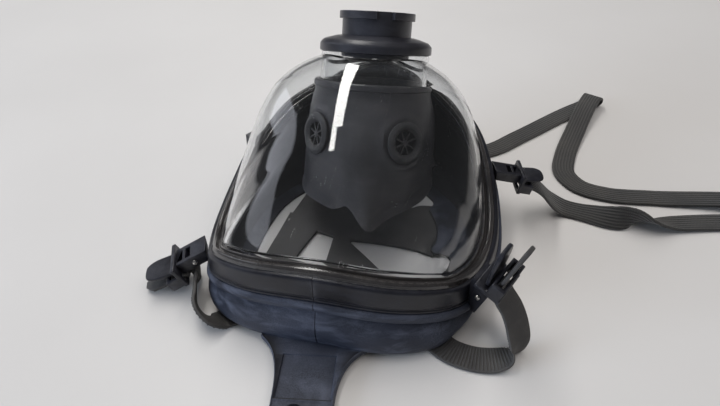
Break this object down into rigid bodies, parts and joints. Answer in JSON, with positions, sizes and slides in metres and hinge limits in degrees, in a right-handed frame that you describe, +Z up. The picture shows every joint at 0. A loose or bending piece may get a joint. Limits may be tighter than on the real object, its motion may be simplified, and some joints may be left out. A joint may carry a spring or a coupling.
{
  "type": "full-face respirator mask",
  "caption": "Full-face respirator mask lying face up: clear visor in a black frame, rubber face seal, inner nose cup, chin air inlet, buckles, head straps and a woven neck strap.",
  "frame": {"origin": "Middle of the part's box in plan, on the surface that it lies on.", "axes": "+Z up from the table, +Y from the forehead end to the chin, +X to the mask's right as it is seen from the forehead end."},
  "size_m": [0.408, 0.3634, 0.1344],
  "materials": {
    "clear": "clear moulded polycarbonate, lightly scratched",
    "rubber": "matt blue-black rubber with a dusty bloom",
    "cup": "matt black soft rubber",
    "plastic": "fine-grained black plastic",
    "strap": "matt black rubber, ribbed inner face",
    "webbing": "woven black webbing with lengthwise stripes",
    "steel": "small turned rivet heads"
  },
  "bodies": {
    "root": {"visor": "clear", "frame_right": "plastic", "frame_left": "plastic", "face_seal": "rubber", "forehead_stud": "plastic", "port_collar": "plastic", "port_spigot": "plastic", "nose_cup": "cup", "valve_left": "cup", "valve_right": "cup", "temple_link_left": "plastic", "temple_buckle_left": "plastic", "temple_lever_left": "plastic", "temple_rivet_left": "steel", "temple_link_right": "plastic", "temple_buckle_right": "plastic", "temple_lever_right": "plastic", "temple_rivet_right": "steel", "jaw_link_left": "plastic", "jaw_buckle_left": "plastic", "jaw_lever_left": "plastic", "jaw_link_right": "plastic", "jaw_buckle_right": "plastic", "jaw_lever_right": "plastic", "temple_strap_left": "strap", "temple_strap_right": "strap", "neck_strap": "webbing", "head_harness": "strap"}
  },
  "joints": []
}
